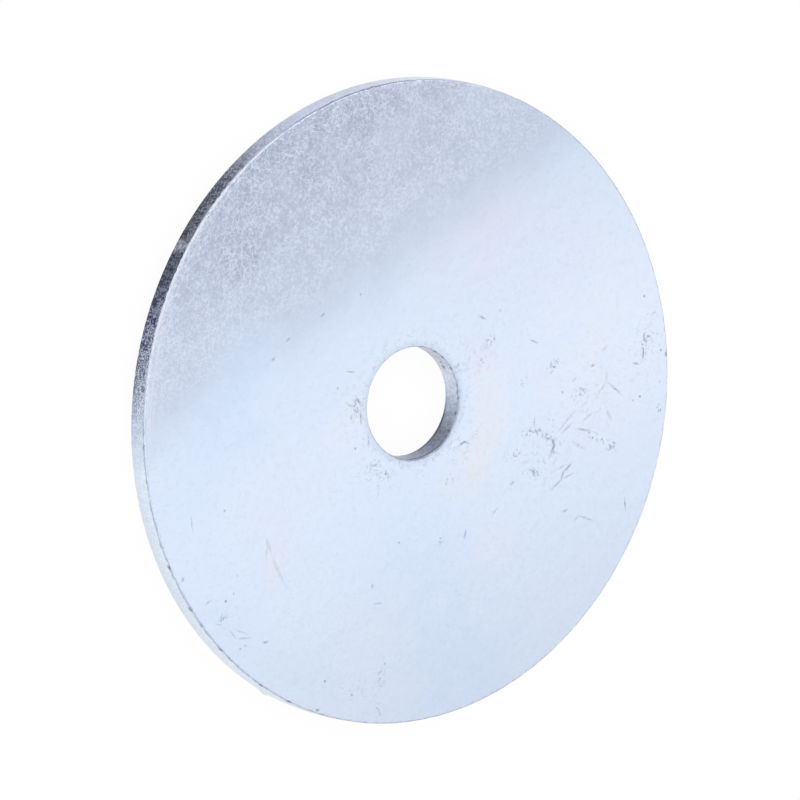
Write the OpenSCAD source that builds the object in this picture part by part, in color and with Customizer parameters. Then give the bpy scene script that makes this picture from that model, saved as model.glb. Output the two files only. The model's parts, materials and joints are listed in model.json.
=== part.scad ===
// Fender washer, blanked and pierced from steel sheet and then tumbled and zinc plated.
// It lies flat, burr side up: the origin is the centre of the hole on the underside, +Z up.
// Each sheared edge has, from the underside upwards, a corner that the tool rolled over,
// a smooth band that it burnished, a torn band that leaves the tool, and a tumbled corner.

/* [Disc] */
// Outside diameter, over the smooth band of the rim
outer_d = 50.8; // [40:0.1:80]
// Thickness of the steel sheet
sheet_t = 1.8; // [1.4:0.05:4]

/* [Hole] */
// Diameter of the hole at its smooth band, which clears a bolt of 5/16 inch or 8 mm
hole_d = 8.73; // [5:0.01:20]

/* [Sheared rim] */
// Radius of the rolled corner under the rim
rim_roll_r = 0.2; // [0.05:0.01:0.4]
// Height of the smooth band of the rim
rim_band_h = 0.8; // [0.2:0.05:1]
// How far the torn band of the rim draws in by the top face
rim_tear = 0.06; // [0:0.01:0.15]
// Radius of the tumbled corner on top of the rim
rim_corner_r = 0.15; // [0.05:0.01:0.3]

/* [Sheared hole] */
// Radius of the rolled corner under the hole
hole_roll_r = 0.2; // [0.05:0.01:0.4]
// Height of the smooth band of the hole
hole_band_h = 0.9; // [0.2:0.05:1.1]
// How far the torn band of the hole opens out by the top face
hole_tear = 0.05; // [0:0.01:0.15]
// Radius of the tumbled corner on top of the hole
hole_corner_r = 0.12; // [0.05:0.01:0.3]

/* [Hidden] */
zinc = "#C9D4E4";
// Steps in a corner's arc, and in a full turn
CORNER_STEPS = 6;
TURN_STEPS = 180;

// Points along an arc, from angle a0 to angle a1
function arc(centre, r, a0, a1) = [
    for (i = [0:CORNER_STEPS])
        let (a = a0 + (a1 - a0) * i / CORNER_STEPS)
            centre + r * [cos(a), sin(a)]
];

// Outline of a sheared edge from the underside to the top face. Each point is
// [how far it stands out past the smooth band, height], so cuts inwards are negative.
function sheared_edge(roll_r, band_h, tear, corner_r) =
    let (
        lean = atan(tear / (sheet_t - roll_r - band_h)),
        corner_x = -tear - corner_r * (1 - sin(lean)) / cos(lean)
    )
    concat(
        arc([-roll_r, roll_r], roll_r, -90, 0),
        [[0, roll_r + band_h]],
        arc([corner_x, sheet_t - corner_r], corner_r, lean, 90)
    );

function reversed(points) = [for (i = [len(points) - 1:-1:0]) points[i]];

// Half of the washer's section: radius across, height up
module washer_section() {
    rim = sheared_edge(rim_roll_r, rim_band_h, rim_tear, rim_corner_r);
    hole = sheared_edge(hole_roll_r, hole_band_h, hole_tear, hole_corner_r);
    polygon(concat(
        [for (p = rim) [outer_d / 2 + p[0], p[1]]],
        [for (p = reversed(hole)) [hole_d / 2 - p[0], p[1]]]
    ));
}

module washer() {
    color(zinc)
        rotate_extrude($fn = TURN_STEPS)
            washer_section();
}

washer();
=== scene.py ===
"""A fender washer blanked from sheet steel and zinc plated, with the plain table and lamps it is shown with.

Lengths are metres unless a name or comment says mm. The washer lies flat, its hole's axis along +Z.
"""

import json
import math

import bpy
from bpy.props import FloatProperty, FloatVectorProperty, IntProperty, PointerProperty
from mathutils import Matrix, Vector


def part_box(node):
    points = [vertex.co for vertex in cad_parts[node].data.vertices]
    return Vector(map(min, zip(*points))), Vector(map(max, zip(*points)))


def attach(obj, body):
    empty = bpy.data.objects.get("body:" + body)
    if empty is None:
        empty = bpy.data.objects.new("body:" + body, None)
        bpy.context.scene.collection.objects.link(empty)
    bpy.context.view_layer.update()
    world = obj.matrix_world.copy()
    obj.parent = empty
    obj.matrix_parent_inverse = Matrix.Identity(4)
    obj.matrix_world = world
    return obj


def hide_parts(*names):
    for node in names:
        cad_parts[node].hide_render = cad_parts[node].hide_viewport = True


bl_info = {
    "name": "Fender Washer",
    "version": (1, 0, 0),
    "blender": (4, 5, 0),
    "location": "View3D > Sidebar > Washer",
    "description": "Makes a zinc plated fender washer and the stage it is shown on",
    "category": "Add Mesh",
}

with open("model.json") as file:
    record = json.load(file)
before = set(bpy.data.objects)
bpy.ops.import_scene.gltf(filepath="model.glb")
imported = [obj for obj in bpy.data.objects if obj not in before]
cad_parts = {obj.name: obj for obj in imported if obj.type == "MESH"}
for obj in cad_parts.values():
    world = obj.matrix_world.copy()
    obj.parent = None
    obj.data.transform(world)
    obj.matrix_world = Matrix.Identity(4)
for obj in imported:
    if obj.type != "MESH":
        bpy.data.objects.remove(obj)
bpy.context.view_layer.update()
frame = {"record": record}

MM = 0.001
NODE = "washer"
BODY = "root"
NODE_LOW, NODE_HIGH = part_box(NODE)
BORE = next(mount for mount in frame["record"]["mounts"] if mount["kind"] == "bore")

# Sockets of the Mix node when it mixes colours
MIX_FACTOR, MIX_A, MIX_B, MIX_RESULT = 0, 6, 7, 2

# Scratches that can be told apart on the top face, as straight strokes between two points.
# Each is x1, y1, x2, y2, width and depth: mm from the hole's axis, and depth from 0 to 1. The width
# is the one at half the depth.
SCRATCHES = (
    # the forked scratch and its neighbours, beyond the hole
    (-4.1, 20.3, -4.9, 18.5, 0.13, 0.55),
    (-4.9, 18.5, -3.7, 17.8, 0.12, 0.35),
    (-4.9, 18.4, -5.7, 18.3, 0.12, 0.3),
    (-2.3, 17.8, -1.3, 16.8, 0.11, 0.4),
    (-0.8, 18.0, -0.7, 16.4, 0.14, 0.55),
    (0.7, 17.7, 0.4, 16.3, 0.22, 0.3),
    (-2.4, 16.1, 0.0, 14.6, 0.12, 0.42),
    (-1.2, 16.0, 0.0, 15.0, 0.12, 0.42),
    (-2.8, 19.0, -2.0, 19.7, 0.25, 0.25),
    # the long scrape right of it, and the curls of the hook-shaped dents
    (2.0, 16.7, 2.9, 16.1, 0.12, 0.85),
    (2.8, 16.1, 3.5, 16.0, 0.12, 0.85),
    (3.4, 16.1, 4.5, 15.2, 0.11, 0.85),
    (2.7, 17.2, 3.4, 16.1, 0.1, 0.5),
    (2.2, 16.1, 2.8, 15.5, 0.1, 0.4),
    (3.2, 12.7, 3.4, 13.4, 0.1, 0.9),
    (0.3, 14.1, 0.9, 14.6, 0.16, 1.0),
    (0.9, 14.6, 1.6, 14.5, 0.17, 1.0),
    (0.5, 13.5, 0.5, 14.1, 0.12, 0.8),
    (0.0, 12.6, 0.5, 12.8, 0.1, 0.8),
    (-0.9, 12.1, -0.1, 12.2, 0.11, 0.6),
    # single strokes towards the far edge
    (3.8, 22.7, 4.9, 23.1, 0.1, 0.7),
    (6.2, 20.2, 6.0, 18.4, 0.12, 0.5),
    (6.0, 18.5, 6.5, 18.2, 0.12, 0.4),
    (5.7, 17.3, 6.0, 16.8, 0.14, 0.5),
    (-8.2, 21.4, -7.3, 21.6, 0.13, 1.0),
    (-9.4, 21.2, -8.9, 21.2, 0.13, 0.7),
    (-9.2, 21.9, -9.1, 21.5, 0.13, 0.8),
    (-11.2, 21.8, -10.8, 21.5, 0.12, 0.5),
    (-6.8, 21.3, -6.8, 20.7, 0.12, 0.6),
    (-6.7, 10.9, -6.8, 10.0, 0.12, 0.5),
    (-6.0, 16.9, -5.8, 16.6, 0.13, 0.6),
    (-7.7, 17.7, -7.2, 17.4, 0.12, 0.4),
    (-4.7, 15.3, -4.4, 15.1, 0.14, 0.5),
    # round the hole
    (2.0, 5.9, 2.6, 5.2, 0.14, 0.7),
    (2.2, 6.3, 2.1, 5.6, 0.1, 0.5),
    (-7.6, 5.3, -7.8, 4.5, 0.13, 0.6),
    (0.4, -5.6, 1.1, -4.9, 0.14, 0.7),
    (0.9, -5.5, 1.8, -4.9, 0.1, 0.5),
    (1.2, -5.7, 1.2, -6.2, 0.13, 0.45),
    (1.9, -5.6, 2.3, -5.6, 0.12, 0.5),
    (1.3, -4.9, 2.6, -4.5, 0.12, 0.7),
    (3.0, -3.7, 4.2, -3.3, 0.12, 0.5),
    (-1.4, -6.2, -1.3, -7.0, 0.09, 0.7),
    (5.2, -2.1, 5.5, -2.8, 0.14, 0.6),
    # single strokes right of the hole and towards the near edge
    (8.8, 7.7, 9.8, 7.7, 0.13, 0.6),
    (15.8, 1.1, 16.0, 0.3, 0.1, 0.5),
    (14.5, -0.2, 14.8, -0.2, 0.13, 0.6),
    (20.4, -8.9, 20.5, -9.4, 0.14, 0.7),
    (20.3, -10.6, 20.6, -11.9, 0.1, 0.5),
    (20.6, -12.0, 20.0, -12.8, 0.1, 0.4),
    (20.1, -10.8, 19.9, -12.6, 0.09, 0.35),
    (19.0, -13.4, 19.5, -13.8, 0.15, 0.6),
    (18.0, -15.0, 18.4, -15.5, 0.13, 0.5),
    (16.7, -18.1, 17.0, -18.1, 0.16, 0.5),
    (12.0, -18.6, 13.2, -18.1, 0.1, 0.4),
    (-5.4, -10.2, -5.0, -10.5, 0.1, 0.8),
    (-2.9, -13.0, -2.6, -13.2, 0.13, 0.6),
    (-1.2, -14.0, -0.9, -14.2, 0.13, 0.6),
    # the long fork below right of the hole
    (12.6, -11.1, 13.7, -10.4, 0.2, 0.24),
    (13.7, -10.4, 15.9, -8.5, 0.22, 0.24),
    (12.5, -11.1, 14.4, -10.7, 0.15, 0.2),
)

# Small round pits on the top face: x, y, width and depth, as above
PITS = (
    (-12.2, 20.4, 0.16, 0.8),
    (-8.3, 23.2, 0.14, 0.7),
    (-8.1, 23.9, 0.3, 1.0),
    (-5.8, 23.8, 0.15, 0.9),
    (-4.3, 22.1, 0.14, 0.8),
    (-3.9, 21.5, 0.13, 0.6),
    (-3.3, 14.3, 0.14, 0.6),
    (-1.0, 14.0, 0.14, 0.6),
    (-8.6, 6.5, 0.14, 0.8),
    (10.9, 1.5, 0.14, 0.7),
    (20.4, 2.6, 0.14, 0.6),
    (23.3, 0.1, 0.15, 1.0),
    (22.6, -2.8, 0.15, 0.9),
    (24.9, -2.9, 0.22, 1.0),
    (15.8, -13.1, 0.14, 0.6),
    (17.2, -13.1, 0.13, 0.6),
    (17.9, -13.7, 0.16, 0.9),
    (21.0, -11.0, 0.13, 0.6),
    (21.3, -11.4, 0.13, 0.6),
    (11.1, -15.6, 0.15, 0.6),
    (4.4, -4.6, 0.13, 1.0),
    (0.1, -7.5, 0.13, 0.6),
    (-7.4, -7.2, 0.13, 0.6),
)

# Dents that are full of small dark curls, as strokes like the scratches
DENTS = (
    (0.2, 12.3, 0.5, 11.5, 0.5, 1.0),
    (-0.1, 12.4, 0.3, 13.0, 0.4, 0.7),
    (0.3, 13.2, 0.5, 14.2, 0.4, 1.0),
    (0.6, 14.4, 1.6, 14.6, 0.5, 1.0),
    (3.3, 13.6, 3.6, 12.3, 0.45, 0.9),
    (-0.5, 17.5, -0.3, 19.4, 0.4, 1.0),
    (-0.1, 19.6, -0.1, 20.7, 0.4, 0.6),
    (0.4, 19.8, 0.2, 21.0, 0.3, 0.5),
    (2.1, 11.1, 2.6, 10.9, 0.5, 0.6),
    (2.4, 10.1, 2.8, 10.2, 0.35, 0.5),
    (4.3, 11.5, 5.0, 11.2, 0.35, 0.5),
    (6.9, 10.1, 7.1, 10.0, 0.4, 0.5),
    (-5.5, 13.0, -4.8, 12.6, 0.5, 0.7),
    (-4.0, 16.4, -3.2, 15.6, 0.6, 0.6),
    (-3.9, 10.3, -3.2, 10.2, 0.35, 0.6),
    (-6.2, 6.3, -5.7, 6.0, 0.6, 0.6),
    (-4.5, 5.9, -4.2, 5.6, 0.4, 0.6),
    (-3.7, 3.9, -3.4, 3.5, 0.4, 0.6),
    (-3.9, 24.2, -3.3, 24.5, 0.35, 0.8),
    (0.4, -5.6, 2.0, -5.2, 0.5, 0.55),
    (5.2, -2.0, 5.8, -2.9, 0.6, 0.6),
    (5.7, -0.9, 6.0, -1.5, 0.5, 0.6),
    (5.0, 5.2, 5.6, 5.0, 0.4, 0.6),
    (1.2, 6.7, 1.5, 6.5, 0.3, 0.5),
    (9.9, 5.6, 10.3, 5.4, 0.3, 0.6),
    (20.9, 2.5, 22.2, 2.6, 0.5, 0.6),
    (23.8, 2.9, 24.4, 3.1, 0.5, 0.6),
    (19.0, -13.4, 19.6, -13.9, 0.5, 0.6),
    (-9.4, 21.3, -7.3, 21.6, 0.4, 0.7),
)

# Where small knocks lie close together: x, y, half width, half height in mm, and how dense
CLUSTERS = (
    (1.8, 13.6, 3.8, 3.2, 1.0),
    (-3.5, 17.0, 6.0, 5.0, 0.5),
    (-8.5, 21.8, 5.0, 2.4, 0.8),
    (1.5, -5.8, 3.2, 2.0, 0.7),
    (6.2, -1.8, 2.4, 3.4, 0.8),
    (-4.6, 4.6, 3.6, 3.6, 0.6),
    (2.6, 5.6, 3.0, 2.0, 0.6),
    (19.2, -12.6, 3.4, 3.2, 0.3),
    (23.0, 1.0, 2.4, 5.0, 0.5),
)

# Faint interference colours of the passivate on the top face, as soft patches: x, y, half width,
# half height in mm, and strength
STRAW_PATCHES = (
    (-3.0, 6.9, 3.0, 2.2, 0.5),
    (0.2, 8.2, 3.2, 2.2, 0.6),
    (3.8, 7.2, 3.2, 2.4, 0.6),
    (5.4, 5.4, 2.2, 2.4, 0.4),
    (-8.0, 17.0, 13.0, 10.0, 0.35),
    (9.8, 10.8, 3.6, 3.0, 0.3),
    (14.4, -9.8, 2.4, 1.6, 0.3),
    (17.5, 1.5, 3.0, 4.4, 0.2),
    (22.0, 4.6, 2.8, 3.0, 0.3),
    (22.4, -4.0, 2.8, 6.0, 0.1),
    (3.0, -5.8, 4.4, 2.6, 0.3),
)
ROSY_PATCHES = (
    (-5.0, 5.4, 2.8, 2.4, 0.45),
    (-14.0, 3.4, 4.6, 4.6, 0.45),
    (-15.0, 6.0, 9.0, 9.0, 0.25),
    (-10.6, -0.2, 3.4, 3.0, 0.25),
    (-19.0, -7.0, 9.0, 8.0, 0.35),
    (-4.0, 12.6, 2.6, 2.4, 0.2),
    (6.4, -16.4, 3.4, 2.8, 0.25),
    (10.0, -11.0, 8.0, 6.0, 0.25),
    (14.4, -9.8, 2.6, 1.6, 0.3),
)
BLUE_PATCHES = (
    (11.5, 3.0, 8.0, 9.0, 0.35),
    (20.0, 10.0, 9.0, 10.0, 0.5),
    (8.0, -20.5, 10.0, 7.0, 0.35),
    (-1.0, -13.0, 10.0, 8.0, 0.25),
    (-8.0, -7.0, 6.0, 6.0, 0.25),
    (-22.6, 7.0, 4.5, 6.0, 0.4),
    (20.0, -14.0, 8.0, 7.0, 0.25),
    (4.8, -16.6, 5.0, 5.0, 0.55),
    (-0.8, -17.2, 4.5, 4.5, 0.8),
    (22.4, -4.6, 3.0, 5.0, 0.35),
)
# Where the dulled zone and its painted dimness are taken back, as patches
UNDULLED_AND_UNDIMMED_PATCHES = ((-0.6, -17.2, 4.8, 4.4, 0.55),)
# Where the dulled zone and its painted reflection of dim surroundings are darker than its slope makes
# them, or lighter where the strength is below 0, as soft blotches like the patches above
DULLED_AND_DIMMED_BLOTCHES = (
    (-8.2, -19.1, 2.6, 2.6, 0.9),
    (-15.2, -20.2, 2.4, 2.2, 0.5),
    (-12.4, -21.6, 2.2, 2.0, 0.4),
    (-14.5, -16.8, 2.2, 2.0, -0.55),
    (-18.0, -12.4, 2.6, 2.4, -0.6),
    (-19.6, -7.5, 2.8, 2.6, -0.9),
    (-22.4, -5.6, 2.6, 2.6, -0.6),
    (-24.2, -0.4, 3.0, 3.4, -0.8),
)

# How the sheared edges look round the washer, in degrees from -X: the plating's dark and light grains,
# and its tumbled top corner. Round the turn these colours carry painted reflection and shade: the dark arc
# of the rim is painted shade, and the corner's light and dark lines are painted highlight and shade.
RIM_PAINTED_SHADES = (
    (0, "#D6DCE8", "#E6EAF3", "#C8CFE0"),
    (10, "#D3DDEA", "#E3EDF8", "#B4BCD0"),
    (24, "#C6CBDC", "#DADFF0", "#9098B0"),
    (40, "#BCC4DC", "#D0D8EE", "#98A2BA"),
    (48, "#969EB4", "#C4CCDC", "#C6D0E2"),
    (57, "#404656", "#989EB2", "#D0D9E8"),
    (64, "#303442", "#868C9E", "#E2EAF7"),
    (71.0, "#303442", "#868C9E", "#E4ECF9"),
    (71.6, "#7A8090", "#C0C6D2", "#E4ECF9"),
    (72.4, "#7A8090", "#C0C6D2", "#E4ECF9"),
    (73.0, "#292D3C", "#6C7288", "#E4ECF9"),
    (79, "#2D3144", "#7C8298", "#E0E8F5"),
    (84, "#343850", "#A0A4BA", "#DCE4F2"),
    (90, "#484C64", "#BCC2DA", "#D4DEEE"),
    (97, "#70778C", "#CCD4E6", "#C6D2E4"),
    (104, "#BEC8DE", "#DAE6F6", "#BAC6DA"),
    (112, "#D8E5F4", "#E8F3FF", "#B2BED2"),
    (160, "#DCE6F2", "#ECF3FB", "#BAC6DC"),
    (176, "#DADFE8", "#EAEEF4", "#C0C6D2"),
    (200, "#D0D8E4", "#E2E8F2", "#A2AAB9"),
    (330, "#CAD2E0", "#DCE2EE", "#A2AAB9"),
    (360, "#D6DCE8", "#E6EAF3", "#C8CFE0"),
)
# Round the hole's wall, too, the dark arc is painted shade and the corner's lines are painted highlight and
# shade
HOLE_PAINTED_SHADES = (
    (0, "#C0C6D4", "#D6DCE8", "#BEC6D6"),
    (90, "#B4B8C6", "#D0D4E2", "#B4B4C0"),
    (160, "#BCC2D2", "#D4DAE8", "#C6CEDC"),
    (172, "#BCC2D2", "#D4DAE8", "#AAB2C0"),
    (180, "#A8AEBE", "#C0C6D6", "#A4AABA"),
    (190, "#9599AD", "#AFB3C7", "#8E94A6"),
    (200, "#8A92A5", "#A6AEC1", "#747C8E"),
    (215, "#7B8395", "#9DA5B7", "#747C8E"),
    (235, "#6B7383", "#8F97A9", "#767E90"),
    (250, "#6D7385", "#9199AB", "#A0AABC"),
    (260, "#838A9C", "#A7AFC2", "#ACB6C8"),
    (270, "#949FB3", "#B4BFD1", "#A8B2C6"),
    (285, "#B6C0D4", "#D0DAEA", "#A6B0C4"),
    (300, "#C8D2E4", "#DEE6F4", "#A4ACBE"),
    (312, "#CAD2E2", "#E0E6F4", "#C0C8DA"),
    (335, "#B0B6C6", "#D0D8E4", "#C0C8DA"),
    (350, "#BCC2CE", "#D4DAE4", "#B6BED0"),
    (360, "#C0C6D4", "#D6DCE8", "#BEC6D6"),
)
# The arc of the rim beside which the face is rubbed and given a painted sheen, in the same degrees, and how
# much
RUBBED_SHEEN_ARC = (
    (0, 0.5),
    (24, 0.5),
    (34, 0.15),
    (52, 0.15),
    (64, 0.6),
    (82, 0.6),
    (88, 1.0),
    (102, 1.0),
    (110, 0.0),
    (345, 0.0),
    (360, 0.5),
)
# The arc of the hole where a painted shadow runs along the foot of its wall, in the same degrees, and how
# dark
FOOT_SHADOW_ARC = ((205, 0.0), (222, 0.8), (262, 0.9), (280, 0.3), (290, 0.0))

# Spots on the sheared walls and their corners that took no zinc: x, y, z and radius in mm
BARE_SPOTS = (
    (16.2, -19.5, 1.7, 0.3),
    (19.1, -16.8, 1.7, 0.35),
    (21.7, -13.2, 1.72, 0.3),
    (23.9, -8.7, 1.7, 0.35),
    (24.7, -5.7, 1.7, 0.4),
    (-4.35, 1.1, 1.72, 0.3),
    (-4.0, 1.9, 1.72, 0.2),
    (-3.35, 3.05, 1.7, 0.25),
    (-3.3, 2.91, 0.86, 0.3),
    (-3.6, 2.5, 0.95, 0.2),
    (-2.1, 3.92, 1.72, 0.16),
    (-1.1, 4.31, 1.72, 0.16),
    (0.1, 4.42, 1.62, 0.2),
    (1.55, 4.13, 1.66, 0.24),
    (2.0, 3.93, 1.62, 0.2),
)

# The graded card's brightness, from its far side to its near one: mm from its middle, and level
CARD_SHADES = (
    (-40, 0.72),
    (-24, 0.8),
    (-16, 0.865),
    (-8, 0.93),
    (-3, 0.96),
    (2, 0.965),
    (5, 0.925),
    (8, 0.885),
    (15, 0.83),
    (22, 0.785),
    (30, 0.745),
    (40, 0.72),
)

# How coarse each noise in the two metals is, in mm
CLOUD_GRAIN = 1.2
MOTTLE_GRAIN = 0.24
PEEL_GRAIN = 1.4
WORN_GRAIN = 0.3
RAGGED_GRAIN = 0.4
DRAG_GRAIN = 0.45
SPECKLE_GRAIN = 0.13
WANDER_GRAIN = 0.9
WOBBLE_GRAIN = 0.5


def linear(hex_colour):
    """An sRGB colour such as "#D5DEEA" as linear red, green, blue and alpha 1."""
    parts = [int(hex_colour[i : i + 2], 16) / 255 for i in (1, 3, 5)]
    return [c / 12.92 if c <= 0.04045 else ((c + 0.055) / 1.055) ** 2.4 for c in parts] + [1.0]


def grey_stops(table, start, end):
    """A table of places and levels as the stops of a colour ramp that runs from start to end."""
    return [((place - start) / (end - start), [level] * 3 + [1.0]) for place, level in table]


def add(tree, kind, inputs=(), stops=(), **settings):
    """Adds a node with its settings. An input is given a value, or a socket or a node to link from.
    A colour ramp also takes stops, each a place from 0 to 1 and a colour."""
    node = tree.nodes.new(kind)
    for name, value in settings.items():
        setattr(node, name, value)
    for key, value in dict(inputs).items():
        if isinstance(value, bpy.types.Node):
            value = next(socket for socket in value.outputs if socket.enabled)
        if isinstance(value, bpy.types.NodeSocket):
            tree.links.new(value, node.inputs[key])
        else:
            node.inputs[key].default_value = value
    for number, (place, colour) in enumerate(stops):
        elements = node.color_ramp.elements
        element = elements[number] if number < 2 else elements.new(place)
        element.position = place
        element.color = colour
    return node


def colour_property(name, description, hex_colour):
    return FloatVectorProperty(
        name=name, description=description, default=linear(hex_colour)[:3], subtype="COLOR", min=0, max=1
    )


def length_property(name, description, default):
    return FloatProperty(name=name, description=description, default=default, unit="LENGTH", precision=5)


class WasherShape(bpy.types.PropertyGroup):
    """The washer's section and the ragged edges that shearing left."""

    outer_radius: length_property(
        "Outer Radius", "Radius over the smooth band of the rim", min(*NODE_HIGH.xy, *(-NODE_LOW).xy)
    )
    hole_radius: length_property(
        "Hole Radius", "Radius of the hole at its smooth band", BORE["dims"]["r_mm"] * MM
    )
    thickness: length_property("Thickness", "Thickness of the sheet", NODE_HIGH.z - NODE_LOW.z)
    roll: length_property("Rolled Corner", "Radius of the corner that the tool rolled over", 0.2 * MM)
    rim_band: length_property("Rim Band", "Height of the rim's smooth band", 0.8 * MM)
    rim_tear: length_property("Rim Tear", "How far the rim's torn band draws in", 0.06 * MM)
    rim_corner: length_property("Rim Corner", "Radius of the rim's tumbled corner", 0.15 * MM)
    hole_band: length_property("Hole Band", "Height of the hole's smooth band", 0.9 * MM)
    hole_tear: length_property("Hole Tear", "How far the hole's torn band opens out", 0.05 * MM)
    hole_corner: length_property("Hole Corner", "Radius of the hole's tumbled corner", 0.12 * MM)
    corner_steps: IntProperty(name="Corner Steps", description="Faces across a corner", default=8, min=2)
    turn_steps: IntProperty(name="Turn Steps", description="Faces round the washer", default=960, min=12)
    ragged_depth: length_property("Ragged Depth", "Deepest bite out of a torn edge", 0.07 * MM)
    ragged_length: length_property("Ragged Length", "Usual length of a bite along the edge", 0.7 * MM)
    nub_height: length_property("Nub Height", "How far a nub of zinc stands out low on the rim", 0.16 * MM)
    nub_size: length_property("Nub Size", "Half the nub's length along the rim", 0.8 * MM)
    nub_rise: length_property("Nub Rise", "Height of the nub's middle above the underside", 0.3 * MM)
    nub_angle: FloatProperty(
        name="Nub Angle", description="Where the nub is", default=math.radians(-16.2), subtype="ANGLE"
    )
    seed: IntProperty(name="Seed", description="Picks where the edges are bitten", default=7)


class WasherFinish(bpy.types.PropertyGroup):
    """The plating's colours and polish. Some colours also serve painted shade, reflection and highlight."""

    zinc: colour_property("Zinc", "Bright zinc under a pale blue passivate", "#DCE8FB")
    # Dulled Zinc also gives a painted reflection of dim surroundings and the painted shade of the ring by the
    # hole
    dulled_and_dimmed: colour_property("Dulled Zinc", "Zinc where tumbling has dulled it", "#C7D1E6")
    # Deep Zinc is mostly painted reflection of dim surroundings, on the -X, -Y side near the rim
    dullest_and_dimmest: colour_property("Deep Zinc", "Zinc where it is dulled the most", "#A1AAC2")
    # Scraped Zinc also gives the lines' painted glints and the painted sheen by the rim
    burnished_and_sheen: colour_property("Scraped Zinc", "Zinc burnished bright, in fine lines and by the rim", "#E6ECFA")
    rosy: colour_property("Rosy Tint", "Plating where the passivate turns rosy", "#E5E4F3")
    straw: colour_property("Straw Tint", "Plating where the passivate turns to straw", "#EAE9EA")
    blue: colour_property("Blue Tint", "Plating where the passivate is bluest", "#D0E2FA")
    # Scuff also darkens the corner line where it is widest, as painted shade
    scuff_and_corner_shade: colour_property("Scuff", "Steel and dirt that show in scuffs", "#5E6675")
    # Painted shadow along the foot of the hole's wall, where it rolls under
    foot_shadow_colour: colour_property("Bare Steel", "Dull steel at the foot of the hole's wall", "#34343C")
    roughness: FloatProperty(
        name="Roughness", description="Roughness of the plated face", default=0.22, subtype="FACTOR"
    )
    hairline_depth: length_property("Hairline Depth", "Depth of the tumbling marks", 0.006 * MM)


class Stage(bpy.types.PropertyGroup):
    """The camera, table and lamps."""

    camera_elevation: FloatProperty(
        name="Camera Elevation",
        description="Height of the camera above the horizon",
        default=math.radians(52.9),
        subtype="ANGLE",
    )
    camera_roll: FloatProperty(
        name="Camera Roll",
        description="How far the camera is turned about its own axis",
        default=math.radians(102.05),
        subtype="ANGLE",
    )
    camera_distance: length_property("Camera Distance", "From the camera to the top face", 0.542)
    lens: FloatProperty(name="Lens", description="Focal length in mm on 36 mm", default=312.6)
    aim_right: length_property("Aim Right", "How far right of the hole's axis it aims", -1.037 * MM)
    aim_up: length_property("Aim Up", "How far above the hole's axis it aims", 0.24 * MM)
    table_width: length_property("Table Width", "Width of the square table", 3.0)
    table: colour_property("Table", "White laminate", "#F9F9F9")
    background: FloatProperty(
        name="Background", description="Share of the table that is plain white to the camera", default=0.93
    )
    room: FloatProperty(name="Room", description="How bright the room's walls are", default=0.9)
    lamp_level: FloatProperty(name="Lamp Level", description="How bright the lamps are", default=1.0)
    card_level: FloatProperty(name="Card Level", description="Brightness of the graded card", default=1.13)
    lamp_size: length_property("Lamp Size", "Width of a square softbox", 0.6)
    lamp_distance: length_property("Lamp Distance", "From a lamp to the washer", 0.9)
    card_distance: length_property("Card Distance", "From the graded card to the top face", 0.12)
    card_width: length_property("Card Width", "Width of the graded card", 0.092)
    card_height: length_property("Card Height", "Height of the graded card", 0.08)
    card_angle: FloatProperty(
        name="Card Angle",
        description="The way the card darkens, in its own plane",
        default=math.radians(216),
        subtype="ANGLE",
    )


def arc(centre, radius, start, end, steps):
    """Points along an arc in the section, from one angle to another, in degrees."""
    angles = (math.radians(start + (end - start) * i / steps) for i in range(steps + 1))
    return [Vector(centre) + radius * Vector((math.cos(a), math.sin(a))) for a in angles]


def sheared_edge(roll, band, tear, corner, thickness, steps):
    """Outline of a sheared edge, from the underside up. A point is (how far past the smooth band, height)
    and comes with how ragged it is, from 0 to 1."""
    lean = math.atan2(tear, thickness - roll - band)
    corner_x = -tear - corner * (1 - math.sin(lean)) / math.cos(lean)
    rolled = arc((-roll, roll), roll, -90, 0, steps)
    tumbled = arc((corner_x, thickness - corner), corner, math.degrees(lean), 90, steps)
    foot, head = Vector((0, roll + band)), tumbled[0]
    torn_rows = 4
    torn = [foot.lerp(head, i / torn_rows) for i in range(torn_rows)]
    points = rolled + [Vector((0, roll + band / 2))] + torn + tumbled
    smooth_count = len(rolled) + 1
    # Half ragged at the torn band's head, fully so in the tumbled corner, and not at all on the flat
    ragged = [0.0] * smooth_count + [i / torn_rows * 0.5 for i in range(torn_rows)]
    ragged += [min(1.0, 0.5 + i / steps, 2.5 * (1 - i / steps)) for i in range(steps + 1)]
    return list(zip(points, ragged))


def flat_rows(inner, outer):
    """Radii of a flat face's rows. Those close to its corners keep its shading flat."""
    margins, rows = (0.04 * MM, 0.3 * MM), 6
    low, high = inner + margins[-1], outer - margins[-1]
    between = [low + (high - low) * i / rows for i in range(1, rows)]
    return [inner + m for m in margins] + between + [outer - m for m in reversed(margins)]


def washer_outline(shape):
    """The washer's section as (radius, height, how ragged), once round against the clock. How ragged is
    negative where a bite goes towards the hole's axis."""
    rim = sheared_edge(
        shape.roll, shape.rim_band, shape.rim_tear, shape.rim_corner, shape.thickness, shape.corner_steps
    )
    hole = sheared_edge(
        shape.roll, shape.hole_band, shape.hole_tear, shape.hole_corner, shape.thickness, shape.corner_steps
    )
    rim = [(shape.outer_radius + p.x, p.y, -ragged) for p, ragged in rim]
    hole = [(shape.hole_radius - p.x, p.y, ragged) for p, ragged in hole]
    underside = [(radius, 0.0, 0.0) for radius in flat_rows(hole[0][0], rim[0][0])]
    top = [(radius, shape.thickness, 0.0) for radius in flat_rows(hole[-1][0], rim[-1][0])]
    return underside + rim + top[::-1] + hole[::-1]


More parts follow.
